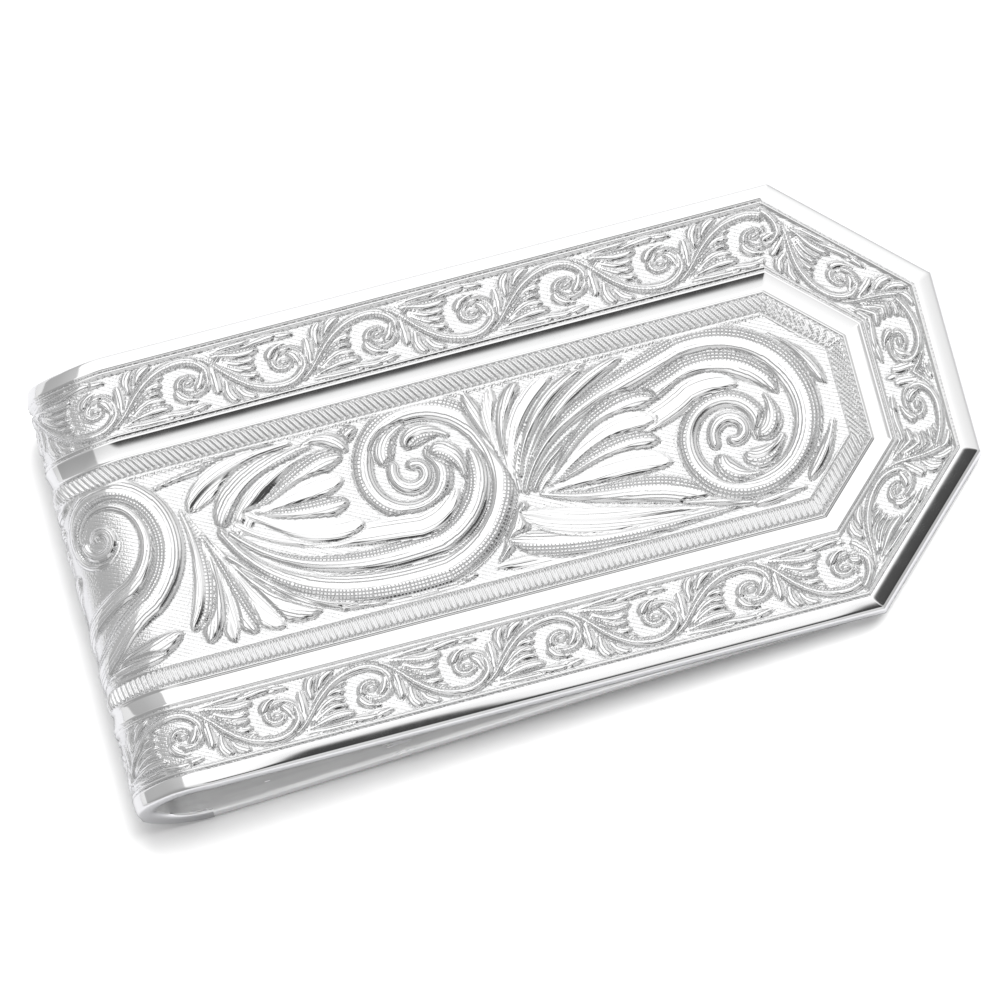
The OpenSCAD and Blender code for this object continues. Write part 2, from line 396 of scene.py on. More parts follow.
def field_relief(x0, x1):
    """The centre field, x along the strip from the plate's end; a later leaf lies over an earlier one."""
    r = Relief(x0, x1, -6.1, 6.1, 0.05)
    # scroll on the bend
    leaves(r, (((-8.2, 5.6), (-7.0, 5.2), (-6.0, 5.4), (-4.6, 5.8), 0.35),
               ((-8.2, 3.6), (-7.4, 4.4), (-6.6, 4.6), (-5.6, 4.4), 0.4),
               ((-8.2, 1.0), (-7.2, 2.4), (-6.6, 3.0), (-5.9, 3.2), 0.45),
               ((-8.2, -1.2), (-7.0, 0.2), (-6.2, 0.9), (-5.2, 1.2), 0.5),
               ((-6.6, -5.8), (-3.6, -5.4), (-1.6, -5.2), (0.6, -4.2), 0.5),
               ((-5.8, -5.4), (-3.8, -5.5), (-2.0, -5.5), (-0.6, -5.3), 0.26)), 0.6)
    hub = (-2.8, 2.8)
    r.stroke(sweep(hub, (-8.6, -3.2), (-6.0, -3.0), -75, 3.7, 230, 1.3),
             stem_width(0.5, 0.6, 0.3, 0.3), top=-0.03, crown=0.12)
    r.stroke(sweep(hub, (-8.6, -5.0), (-4.0, -5.4), -66, 5.15, 330, 1.05),
             stem_width(0.7, 0.88, 0.34), top=-0.01, crown=0.14, beads=0.9)
    eye(r, hub, 1.2, 0.45, 180, 0.9, (0.3, 0.38, 0.3))
    # fan at the left of the field
    root = (2.4, 3.0)
    tips = ((8.9, -5.0, 0.6), (6.6, -5.4, 0.5), (4.9, -5.3, 0.5),
            (3.5, -5.6, 0.42), (2.1, -5.2, 0.5), (1.3, -4.2, 0.42))
    for k, (tx, ty, w) in enumerate(tips):
        u = k / (len(tips) - 1)
        line = bezier(root, (3.4 - 0.4 * u, 0.9 - 0.4 * u), (4.6 - 1.7 * u, -4.2 + 1.2 * u), (tx, ty), 22)
        r.stroke(line, leaf_width(w, 0.74, 0.1), top=-0.03, crown=0.13, hollow=0.1 * (k % 2),
                 lines=1.0 if k % 2 == 0 else 0.2, beads=0.9 if k % 3 == 2 else 0.0)
    # leaves along the far edge
    for a, b, c, d, w, hollow in (((1.2, 4.9), (3.6, 5.4), (6.6, 5.6), (9.6, 5.4), 0.26, 0.0),
                                  ((9.6, 5.5), (6.8, 5.3), (4.2, 4.6), (2.9, 3.0), 0.55, 0.1),
                                  ((10.8, 5.1), (7.8, 4.7), (5.2, 3.4), (4.5, 1.6), 0.6, 0.0),
                                  ((11.7, 4.6), (9.0, 4.2), (6.4, 2.8), (5.2, 0.6), 0.5, 0.11),
                                  ((12.2, 4.0), (12.6, 4.9), (13.0, 5.2), (13.6, 5.4), 0.3, 0.0)):
        worked_leaf(r, bezier(a, b, c, d, 22), leaf_width(w, 0.66), hollow)
    leaves(r, (((4.4, -0.4), (6.2, -2.2), (8.4, -4.6), (11.4, -4.9), 0.42),
               ((7.4, -3.2), (8.8, -4.6), (10.4, -5.2), (12.6, -5.2), 0.3),
               ((10.4, 5.2), (11.4, 5.5), (12.2, 5.2), (12.8, 4.2), 0.32)), 0.66, 20)
    # scroll 1: sweeps along the near edge and winds up over the far edge to its hub
    hub = (16.4, 1.8)
    leaves(r, (((10.2, -5.3), (12.4, -5.5), (15.6, -5.6), (18.4, -5.3), 0.26),
               ((20.0, -4.9), (21.2, -3.8), (21.9, -2.9), (22.2, -1.8), 0.4)), 0.6)
    r.stroke(sweep(hub, (4.4, 1.2), (6.4, -3.6), -86, 6.3, 395, 1.55, 90),
             stem_width(0.3, 0.98, 0.5, 0.3), top=-0.01, crown=0.15, beads=-0.9)
    inner_leaves(r, hub, (((4.9, 1.0), (7.6, -2.4), -84, 4.55, 8, 3.55, 0.58, 0.0),
                          ((5.4, 1.4), (8.0, -1.2), -98, 3.35, -38, 2.75, 0.5, 0.12)))
    plume(r, (6.2, 1.9), ((12.4, 3.9), (12.1, 2.5), (12.1, 1.1), (12.7, -0.4)),
          ((8.6, 2.2), (10.4, 4.2)), ((8.0, 0.4), (10.4, -0.8)),
          (0.5, 0.5, 0.45, 0.5), top=-0.04, crown=0.13, beads=0.8)
    petals(r, hub, 1, (-20, 35, 90))
    eye(r, hub, 1.35, 0.5, 150, 0.85, (0.34, 0.44, 0.34))
    # leaves standing between the two scrolls
    for tx, ty, w, bx, hollow in ((20.4, 5.75, 0.34, 20.9, 0.0), (22.0, 5.7, 0.36, 21.4, 0.1),
                                  (23.6, 5.6, 0.4, 22.0, 0.0), (25.6, 5.5, 0.4, 22.8, 0.12),
                                  (27.8, 5.75, 0.3, 24.2, 0.0)):
        line = bezier((22.2, -1.0), (22.0, 1.6), (bx, 4.0), (tx, ty), 20)
        worked_leaf(r, line, leaf_width(w, 0.72, 0.1), hollow, beads=0.0)
    # leaves below the second scroll
    for a, b, c, d, w, hollow in (((35.6, -5.4), (30.5, -5.5), (24.0, -5.6), (19.6, -5.2), 0.36, 0.08),
                                  ((34.6, -5.3), (30.0, -5.2), (25.0, -5.4), (20.9, -3.9), 0.62, 0.0),
                                  ((33.6, -5.0), (29.0, -4.4), (25.0, -4.2), (22.0, -2.4), 0.55, 0.1),
                                  ((23.4, -1.5), (27.0, -3.2), (30.0, -2.0), (33.4, -4.7), 0.55, 0.0)):
        worked_leaf(r, bezier(a, b, c, d, 22), leaf_width(w, 0.7, 0.1), hollow, sparse=0.25, beads=0.8)
    leaves(r, (((22.6, -0.6), (24.0, 2.2), (26.4, 4.6), (30.0, 5.5), 0.36),
               ((22.4, 0.0), (23.2, 2.6), (25.0, 4.6), (27.6, 5.4), 0.3),
               ((31.5, -4.3), (33.0, -4.6), (34.6, -5.0), (36.4, -5.2), 0.3)), 0.66, 20)
    # scroll 2: opens from the middle and winds down round the tip
    hub = (35.3, -0.8)
    leaves(r, (((38.8, 4.6), (39.9, 3.6), (40.8, 2.4), (41.3, 0.8), 0.3),
               ((33.8, 5.5), (36.0, 5.5), (37.4, 5.1), (38.6, 4.3), 0.26),
               ((41.2, -1.6), (40.8, -2.8), (40.0, -3.8), (39.0, -4.8), 0.32),
               ((38.6, -5.2), (37.4, -5.3), (36.6, -5.4), (35.4, -5.5), 0.24)), 0.6)
    r.stroke(sweep(hub, (22.5, -1.1), (24.6, 3.2), 108, 6.2, -375, 1.6, 90),
             stem_width(0.2, 0.92, 0.5, 0.34), top=-0.01, crown=0.15, beads=0.9)
    inner_leaves(r, hub, (((23.0, -1.1), (25.4, 2.4), 112, 4.75, 30, 3.6, 0.55, 0.0),
                          ((23.4, -1.2), (26.0, 1.6), 122, 3.7, 72, 3.0, 0.5, 0.12)))
    plume(r, (23.7, -1.4), ((31.3, 2.5), (31.0, 1.2), (30.9, -0.1), (31.3, -1.6)),
          ((25.8, 1.0), (28.6, 3.2)), ((26.4, -1.4), (29.0, -0.6)),
          (0.5, 0.5, 0.46, 0.5), top=-0.03, crown=0.13, beads=0.8)
    petals(r, hub, -1, (36, -18, -72))
    eye(r, hub, 1.3, 0.5, 200, -0.85, (0.34, 0.44, 0.34))
    return r.soften(2)


# -------- face and bow
def corners(inset):
    """The four corners (s, y) of a band's line: near side, near tip, far tip, far side."""
    half, end = HALF - inset[0], LENGTH - inset[1]
    cut = LENGTH + HALF - CUT - inset[1] * math.sqrt(2)
    side, tip = cut - half - PLATE_X, end - PLATE_X
    return ((side, -half), (tip, end - cut), (tip, cut - end), (side, half))


def mix(a, b, t):
    return tuple(a[k] + (b[k] - a[k]) * t for k in range(len(a)))


HEEL_STEPS = 12


def band_line(inset, counts):
    """Points (s, y) of one line round the band, from the heel end round the tip and back.

    The counts are the steps along the bow, a side, a cut corner and the tip.
    """
    d, c, b, a = corners(inset)
    heel = np.linspace(-FULL, -BEND, HEEL_STEPS + 1)
    bow, side = np.linspace(-BEND, 0, counts[0] + 1), np.linspace(0, d[0], counts[1] + 1)
    side = np.concatenate([heel[:-1], bow[:-1], side])
    near = np.stack([side, np.full(len(side), d[1])], -1)

    def go(p, q, n):
        t = np.linspace(0, 1, n + 1)[1:, None]
        return np.array(p) + (np.array(q) - np.array(p)) * t

    far = near[::-1][1:] * (1, -1)
    return np.concatenate([near, go(d, c, counts[2]), go(c, b, counts[3]), go(b, a, counts[2]), far])


# Points closer than this (m) become one.
WELD = 1.5e-6


class Builder:
    """Collects grids and strips of points, with the carving's marks, into one welded mesh."""

    def __init__(self):
        self.co, self.faces, self.data, self.n = [], [], [], 0

    def add(self, co, data=None):
        co = co.reshape(-1, 3)
        self.co.append(co)
        if data is None:
            data = np.zeros((len(co), 6))
        elif data.shape[-1] == 5:
            data = np.concatenate([data.reshape(-1, 5), np.zeros((len(co), 1))], 1)
        self.data.append(data.reshape(-1, 6))
        self.n += len(co)
        return self.n - len(co)

    def grid(self, co, data=None, turn=False):
        """co is (rows, columns, 3)."""
        rows, cols = co.shape[:2]
        base = self.add(co, data)
        i, j = np.meshgrid(np.arange(rows - 1), np.arange(cols - 1), indexing="ij")
        a = base + i * cols + j
        quad = np.stack([a, a + 1, a + cols + 1, a + cols], -1).reshape(-1, 4)
        self.faces.extend((quad[:, ::-1] if turn else quad).tolist())

    def zip(self, first, second, f_data=None, s_data=None):
        """Strip of triangles between two lines with different numbers of points."""
        a, b = self.add(first, f_data), self.add(second, s_data)
        n, m = len(first), len(second)

        def run(co):
            d = np.linalg.norm(co[1:] - co[:-1], axis=1)
            t = np.concatenate([[0], np.cumsum(d)])
            return t / t[-1]

        ta, tb = run(first), run(second)
        i = j = 0
        while i < n - 1 or j < m - 1:
            if j == m - 1 or (i < n - 1 and ta[i + 1] <= tb[j + 1]):
                tri = [a + i, a + i + 1, b + j]
                i += 1
            else:
                tri = [a + i, b + j + 1, b + j]
                j += 1
            self.faces.append(tri)

    def fan(self, loop):
        base = self.add(loop)
        self.faces.append(list(range(base, base + len(loop))))

    def build(self, name, names=("bare", "lines", "beads", "across", "along", "inner")):
        mesh = bpy.data.meshes.new(name)
        mesh.from_pydata(np.concatenate(self.co).tolist(), [], self.faces)
        data = np.concatenate(self.data)
        for k, n in enumerate(names):
            at = mesh.attributes.new(n, "FLOAT", "POINT")
            at.data.foreach_set("value", np.ascontiguousarray(data[:, k], dtype=np.float32))
        bm = bmesh.new()
        bm.from_mesh(mesh)
        bmesh.ops.remove_doubles(bm, verts=bm.verts, dist=WELD)
        bmesh.ops.recalc_face_normals(bm, faces=bm.faces)
        bm.to_mesh(mesh)
        bm.free()
        mesh.polygons.foreach_set("use_smooth", [True] * len(mesh.polygons))
        mesh.update()
        obj = bpy.data.objects.new(name, mesh)
        bpy.context.scene.collection.objects.link(obj)
        return obj


def path_place(s, y):
    """Distance from the middle of the tip back along the border, and depth from its outer edge (0 to 1)."""
    mid = corners(mix(RIM, BORDER, 0.5))
    out, inn = corners(RIM), corners(BORDER)
    ay = np.abs(y)
    half_tip = mid[2][1]
    cut_len = math.hypot(mid[3][0] - mid[2][0], mid[3][1] - mid[2][1])
    q_side = (out[3][1] - ay) / (out[3][1] - inn[3][1])
    q_tip = (out[2][0] - s) / (out[2][0] - inn[2][0])
    k = math.sqrt(0.5)
    out_cut, inn_cut = (out[3][0] + out[3][1]) * k, (inn[3][0] + inn[3][1]) * k
    q_cut = (out_cut - (s + ay) * k) / (out_cut - inn_cut)
    q = np.minimum(np.minimum(q_side, q_tip), q_cut)
    on_cut = (q_cut <= q_side) & (q_cut <= q_tip)
    on_tip = (q_tip < q_cut) & (q_tip <= q_side)
    p_cut = half_tip + ((ay - s) * k - (mid[2][1] - mid[2][0]) * k)
    p_side = half_tip + cut_len + mid[3][0] - s
    return np.where(on_cut, p_cut, np.where(on_tip, ay, p_side)), q


# The carving ends on the heel: how far past the nose, and over what length it fades.
FADE_END, FADE_RUN = 0.2, 0.9


def fade(s):
    """1 on the face, 0 where the carving ends on the heel."""
    return smooth((s + BEND + FADE_END) / FADE_RUN)


def on_heel(s):
    return s < -BEND - FADE_END


RIM_ROUND = 0.2
RIM_ROLL = 0.22


def rim_height(t, side_roll):
    """Height over the rim, t from its outer edge (0) to its inner edge (1)."""
    arc = np.sqrt(np.clip(RIM_ROUND ** 2 - (RIM_ROUND - t) ** 2, 0, None))
    out = np.where(t < RIM_ROUND, -RIM_ROUND + arc, 0)
    u = np.clip(1 - t, 0, 1)
    return out * 0.9 - side_roll * u ** 1.4


# Steps along the bow, a side, a cut corner and the tip.
OUTER_COUNTS = (76, 376, 76, 86)
ROPE_COUNTS = (124, 664, 66, 104)
FIELD_COUNTS = (74, 404, 32, 56)
# Distance from the rim or the channel, and height, through the double lines beside the border panel.
DOUBLE_OUT = ((0.0, 0.0), (0.05, -0.12), (0.11, -0.14), (0.17, -0.03),
              (0.25, -0.03), (0.31, -0.13), (0.38, -0.15))
DOUBLE_IN = ((0.40, -0.15), (0.34, -0.04), (0.27, -0.03), (0.20, -0.14),
             (0.14, -0.13), (0.07, -0.02), (0.0, 0.0))
PANEL_ROWS = 41
# Fraction of the channel's width, and height.
CHANNEL_PROFILE = ((0.0, 0.0), (0.05, -0.02), (0.12, -0.045), (0.3, -0.1), (0.5, -0.155), (0.7, -0.2),
                   (0.82, -0.222), (0.89, -0.23), (0.94, -0.19), (1.0, -0.13))
# Height of the ledges beside the rope, and half the width of the field.
LEDGE, FIELD_HALF = -0.15, 5.95
# Length of one rib of the rope, and how many ribs it slants over across the band.
ROPE_PITCH, ROPE_SLANT = 0.37, 0.55


def face_piece():
    b = Builder()
    border, field = border_relief(), field_relief(-BEND - 0.5, LENGTH - PLATE_X - ROPE[1] + 0.5)

    def rows(insets, counts, heights, datas=None):
        """Surface over lines at the insets, with heights(k, points) and datas(k, points) for line k."""
        pts = np.stack([band_line(i, counts) for i in insets])
        h = np.stack([heights(k, pts[k]) for k in range(len(insets))])
        h = np.where(on_heel(pts[..., 0]), np.minimum(h, 0) * fade(pts[..., 0]), h)
        co = skin(pts[..., 0], pts[..., 1], h)
        data = np.zeros(h.shape + (5,))
        if datas:
            data = np.stack([datas(k, pts[k]) for k in range(len(insets))])
        return co, data

    # rim, rolled over a little; the near one is uneven, so that its reflection wavers
    ts = np.concatenate([[0, 0.012, 0.04, 0.085, 0.14, 0.2], np.linspace(RIM_ROUND, 1, 8)[1:]])

    def rim(k, p):
        dip = (0.72 + 0.4 * smooth((24 - p[:, 0]) / 12)) * (0.35 + 0.65 * smooth((p[:, 0] - 0.5) / 6))
        wave = np.where(p[:, 1] < -12, dip, 1.0)
        wave = wave + (1 - wave) * smooth((p[:, 0] - 37.5) / 3)
        t = np.full(len(p), ts[k])
        if ts[k] > RIM_ROUND:
            return rim_height(t, RIM_ROLL) * wave
        return rim_height(t, RIM_ROLL * wave)

    b.grid(*rows([mix((0, 0), RIM, t) for t in ts], OUTER_COUNTS, rim))
    # double line inside the rim, the border panel, and the double line outside the channel
    wide = BORDER[0] - RIM[0]
    panel = list(np.linspace(0.42 / wide, 1 - 0.44 / wide, PANEL_ROWS))
    qs = [d / wide for d, _ in DOUBLE_OUT] + panel + [1 - d / wide for d, _ in DOUBLE_IN]
    hs = [h for _, h in DOUBLE_OUT] + [None] * PANEL_ROWS + [h for _, h in DOUBLE_IN]

    def border_place(p):
        u, q = path_place(p[:, 0], p[:, 1])
        q = np.clip((q * wide - 0.36) / (wide - 0.76), 0, 1)
        # the offset puts two facing volutes at the tip
        x = np.mod(2 * UNIT * 8 - u + 1.03 * UNIT, 2 * UNIT)
        return x, (0.5 - q) * PANEL

    def border_height(k, p):
        if hs[k] is not None:
            return np.full(len(p), hs[k])
        x, y = border_place(p)
        return -0.12 + (border.sample(x, y)[0] + 0.12) * 0.8

    def border_data(k, p):
        if hs[k] is not None:
            d = np.zeros((len(p), 5))
            # the deep part of the double lines is marked bare, so that it gets the painted shade and the
            # stipple of the ground
            d[:, 0] = 1.0 if hs[k] < -0.1 else 0.0
            return d
        x, y = border_place(p)
        _, bare, lines, beads, across, along = border.sample(x, y)
        f = fade(p[:, 0])
        return np.stack([bare * f, lines * f, beads * f, across, along], -1)

    b.grid(*rows([mix(RIM, BORDER, q) for q in qs], OUTER_COUNTS, border_height, border_data))
    # bevelled channel, sloping down towards the field
    insets = [mix(BORDER, CHANNEL, t) for t, _ in CHANNEL_PROFILE]
    co, data = rows(insets, OUTER_COUNTS, lambda k, p: np.full(len(p), CHANNEL_PROFILE[k][1]))
    b.grid(co, data)
    last = co[-1]
    # rope band: one row of slanted ribs between two grooves
    rope_q = np.concatenate([[0.05, 0.1, 0.14], np.linspace(0.2, 0.8, 9), [0.86, 0.9, 0.95]])

    def beside_rope(q):
        return q < 0.12 or q > 0.88

    def rope_wave(p, q):
        run = np.concatenate([[0], np.cumsum(np.hypot(*(p[1:] - p[:-1]).T))])
        return 0.5 + 0.5 * np.cos(2 * math.pi * (run / ROPE_PITCH + ROPE_SLANT * (q - 0.5)))

    def rope_data(k, p):
        d = np.zeros((len(p), 5))
        q = rope_q[k]
        # painted shade: the grooves beside the rope are marked bare and the valleys between its ribs are
        # marked as beads, and the material darkens both
        if beside_rope(q):
            d[:, 0] = 0.7
        else:
            d[:, 2] = 0.5 * (1 - rope_wave(p, q)) ** 1.5
        return d

    def rope_height(k, p):
        q = rope_q[k]
        if beside_rope(q):
            return np.full(len(p), -0.24 if 0.06 < q < 0.94 else LEDGE)
        row = abs(math.sin(math.pi * (q - 0.1) / 0.8)) ** 0.35
        return -0.22 + (0.02 + 0.17 * rope_wave(p, q)) * row

    co, data = rows([mix(CHANNEL, ROPE, q) for q in rope_q], ROPE_COUNTS, rope_height, rope_data)
    b.zip(last, co[0], s_data=data[0])
    b.grid(co, data)
    last, last_data = co[-1], data[-1]
    # centre field: one grid along the sides, and one between it and the tip's outline
    edge_line = band_line(ROPE, FIELD_COUNTS)
    sides = FIELD_COUNTS[0] + FIELD_COUNTS[1] + HEEL_STEPS
    across_n = 2 * FIELD_COUNTS[2] + FIELD_COUNTS[3]
    near = edge_line[:sides + 1]
    tip = edge_line[sides:sides + across_n + 1]

    def field_data(s, y):
        h, bare, lines, beads, across, along = field.sample(s, y)
        f = fade(s)
        lip = smooth((y + FIELD_HALF) / 0.25) * smooth((FIELD_HALF - y) / 0.25)
        marks = np.stack([bare * f, lines * f * lip, beads * f * lip, across, along], -1)
        return (LEDGE + (h - LEDGE) * lip) * f, marks

    s_grid = np.repeat(near[:, 0][:, None], across_n + 1, 1)
    y_grid = near[0, 1] * -np.linspace(-1, 1, across_n + 1)[None, :] + 0 * s_grid
    h, data = field_data(s_grid, y_grid)
    b.grid(skin(s_grid, y_grid, h), data, turn=True)
    col = np.stack([s_grid[-1], y_grid[-1]], -1)
    steps = np.linspace(0, 1, 26)[:, None, None]
    tip_grid = col[None] * (1 - steps) + tip[None] * steps
    h, data = field_data(tip_grid[..., 0], tip_grid[..., 1])
    rise = smooth((np.broadcast_to(steps[..., 0], h.shape) - 0.93) / 0.07)
    h = LEDGE + (h - LEDGE) * (1 - rise)
    b.grid(skin(tip_grid[..., 0], tip_grid[..., 1], h), data, turn=True)
    # the rope's inner line joins the field's outline
    s = edge_line[:, 0]
    h, data = field_data(s, edge_line[:, 1])
    b.zip(last, skin(s, edge_line[:, 1], np.where(on_heel(s), h, LEDGE * fade(s))), last_data, data)
    # side wall with a small lower chamfer
    pts = band_line((0, 0), OUTER_COUNTS)
    top_h = rim(0, pts)
    top_h = np.where(on_heel(pts[:, 0]), np.minimum(top_h, 0) * fade(pts[:, 0]), top_h)
    walls = [skin(pts[:, 0], pts[:, 1], top_h)]
    for t in (0.33, 0.66, 1.0):
        walls.append(skin(pts[:, 0], pts[:, 1], top_h + (-THICK + 0.15 - top_h) * t))
    for inset, over in ((0.05, 0.05), (0.15, 0.0)):
        low = band_line((inset, inset), OUTER_COUNTS)
        walls.append(skin(low[:, 0], low[:, 1], np.full(len(low), -THICK + over)))
    b.grid(np.stack(walls), turn=True)
    # underside, marked for the brushed material
    n_side = OUTER_COUNTS[0] + OUTER_COUNTS[1] + HEEL_STEPS + OUTER_COUNTS[2]
    near_low, far_low = low[:n_side + 1], low[::-1][:n_side + 1]
    v = np.array([0, 0.003, 0.012, 0.05, 0.2, 0.4, 0.6, 0.8, 0.95, 0.988, 0.997, 1])[None, :, None]
    under = near_low[:, None] * (1 - v) + far_low[:, None] * v
    under = under[:-1]
    inner = np.zeros(under.shape[:2] + (6,))
    inner[..., 5] = 1
    b.grid(skin(under[..., 0], under[..., 1], np.full(under.shape[:2], -THICK)), inner)
    end = np.concatenate([under[-1][::-1], low[n_side:n_side + OUTER_COUNTS[3] + 1]])
    b.fan(skin(end[:, 0], end[:, 1], np.full(len(end), -THICK)))
    obj = b.build("face_and_bow")
    # the heel's end is closed as one face
    bm = bmesh.new()
    bm.from_mesh(obj.data)
    loops = [e for e in bm.edges if e.is_boundary]
    bmesh.ops.holes_fill(bm, edges=loops, sides=0)
    bmesh.ops.recalc_face_normals(bm, faces=bm.faces)
    bm.to_mesh(obj.data)
    bm.free()
    obj.data.polygons.foreach_set("use_smooth", [True] * len(obj.data.polygons))
    marks = np.zeros(len(obj.data.vertices), np.float32)
    obj.data.attributes["inner"].data.foreach_get("value", marks)
    for poly in obj.data.polygons:
        if sum(marks[v] > 0.5 for v in poly.vertices) >= 3:
            poly.material_index = 1
    obj.data.set_sharp_from_angle(angle=math.radians(75))
    return obj


# -------- spring leaf
LEAF_ROUND = 0.22


def leaf_piece():
    half0, half1 = HALF - BOW_INSET, HALF - LEAF_INSET

    def line_at(rise):
        """Line (x, z) of the leaf at a height above its lower surface."""
        line = [(C3[0], rise)]
        for t in np.linspace(0, 1, 14):
            line.append(spot(BELLY_C, BELLY_R - rise, math.pi + SLOPE * t))
        belly, toe = line[-1], spot(TOE_C, TOE_R + rise, SLOPE)
        for t in np.linspace(0, 1, 30)[1:]:
            line.append(mix(belly, toe, t))
        for t in np.linspace(0, 1, 24)[1:]:
            line.append(spot(TOE_C, TOE_R + rise, SLOPE + (TOE_SLOPE - SLOPE) * t))
        toe = line[-1]
        end = LEAF_END - rise * math.sin(TOE_SLOPE), LEAF_END_Z + rise * math.cos(TOE_SLOPE)
        for t in np.sin(np.linspace(0, math.pi / 2, 26))[1:]:
            line.append(mix(toe, end, t))
        return np.array(line)

    low, high = line_at(0.0), line_at(LEAF_THICK)
    r = LEAF_ROUND
    # section across the leaf: side (1 near edge, -1 far edge), shift across, rise
    loop = []
    arc = [math.radians(a) for a in (0, 22.5, 45, 67.5, 90)]
    for a in arc:
        loop.append((1, -r + r * math.sin(a), r - r * math.cos(a)))
    for a in arc:
        loop.append((1, -r + r * math.cos(a), LEAF_THICK - r + r * math.sin(a)))
    flat = [0.996, 0.98, 0.94] + list(np.linspace(0.85, -0.85, 18)) + [-0.94, -0.98, -0.996]
    for y in flat:
        loop.append((y, 0, LEAF_THICK))
    for a in arc[::-1]:
        loop.append((-1, r - r * math.cos(a), LEAF_THICK - r + r * math.sin(a)))
    for a in arc[::-1]:
        loop.append((-1, r - r * math.sin(a), r - r * math.cos(a)))
    for y in flat[::-1]:
        loop.append((y, 0, 0.0))
    b = Builder()
    rings = []
    for k in range(len(low)):
        x = low[k][0]
        half = half0 + (half1 - half0) * min(1, (x - LEAF_X) / (LEAF_END - LEAF_CORNER - LEAF_X))
        over = x - (LEAF_END - LEAF_CORNER)
        if over > 0:
            half = half1 - LEAF_CORNER + math.sqrt(max(0, LEAF_CORNER ** 2 - over ** 2))
        ring = []
        for side, dy, rise in loop:
            p = low[k] + (high[k] - low[k]) * rise / LEAF_THICK
            y = side * (half - r) if abs(side) < 1 else side * half + dy
            ring.append((p[0], y, p[1]))
        ring = np.array(ring)
        rings.append(world(ring[:, 0], ring[:, 1], ring[:, 2]))
    rings = np.stack(rings)
    rings = np.concatenate([rings, rings[:, :1]], 1)
    b.grid(rings)
    b.fan(rings[0][:-1])
    b.fan(rings[-1][:-1])
    obj = b.build("leaf_strip")
    obj.data.set_sharp_from_angle(angle=math.radians(50))
    return obj


# -------- materials
def node(tree, kind, **values):
    n = tree.nodes.new(kind)
    for k, v in values.items():
        setattr(n, k, v)
    return n


class Graph:
    """A material and short calls for the nodes that go into it."""

    def __init__(self, name):
        self.mat = bpy.data.materials.new(name)
        self.mat.use_nodes = True
        self.tree = self.mat.node_tree
        self.shader = self.tree.nodes["Principled BSDF"]

    def link(self, a, b):
        self.tree.links.new(a, b)

    def math(self, op, a, b=None, c=None, clamp=False):
        n = node(self.tree, "ShaderNodeMath", operation=op, use_clamp=clamp)
        for k, v in enumerate((a, b, c)):
            if v is None:
                continue
            if isinstance(v, (int, float)):
                n.inputs[k].default_value = v
            else:
                self.link(v, n.inputs[k])
        return n.outputs[0]

    def attribute(self, name):
        n = node(self.tree, "ShaderNodeAttribute", attribute_name=name, attribute_type="GEOMETRY")
        return n.outputs["Fac"]

    def ramp(self, value, lo, hi, a, b):
        n = node(self.tree, "ShaderNodeMapRange", interpolation_type="SMOOTHSTEP")
        self.link(value, n.inputs["Value"])
        for k, v in zip(("From Min", "From Max", "To Min", "To Max"), (lo, hi, a, b)):
            n.inputs[k].default_value = v
        return n.outputs["Result"]

    def noise(self, scale, detail=2.0, rough=0.5, stretch=None):
        pos = node(self.tree, "ShaderNodeTexCoord").outputs["Object"]
        if stretch:
            m = node(self.tree, "ShaderNodeMapping")
            self.link(pos, m.inputs["Vector"])
            m.inputs["Scale"].default_value = stretch
            m.inputs["Rotation"].default_value = (0, -TILT, 0)
            pos = m.outputs["Vector"]
        n = node(self.tree, "ShaderNodeTexNoise")
        self.link(pos, n.inputs["Vector"])
        n.inputs["Scale"].default_value = scale
        n.inputs["Detail"].default_value = detail
        n.inputs["Roughness"].default_value = rough
        return n.outputs["Fac"]

    def colour(self, fac, a, b):
        n = node(self.tree, "ShaderNodeMix", data_type="RGBA")
        self.link(fac, n.inputs["Factor"])
        n.inputs["A"].default_value = (*a, 1)
        n.inputs["B"].default_value = (*b, 1)
        return n.outputs["Result"]

    def bump(self, height, distance, strength=1.0, normal=None):
        n = node(self.tree, "ShaderNodeBump")
        self.link(height, n.inputs["Height"])
        n.inputs["Distance"].default_value = distance
        n.inputs["Strength"].default_value = strength
        if normal:
            self.link(normal, n.inputs["Normal"])
        return n.outputs["Normal"]


# Half the spacing of the graver's cuts and of the beads (mm), and of the hatching (m); scale of the stipple.
CUT_HALF, BEAD_HALF, HATCH_HALF, STIPPLE_SCALE = 0.105, 0.11, 0.000125, 8600
# Keeps a signed value above zero ahead of the ping-pong node.
ABOVE_ZERO = 10.0


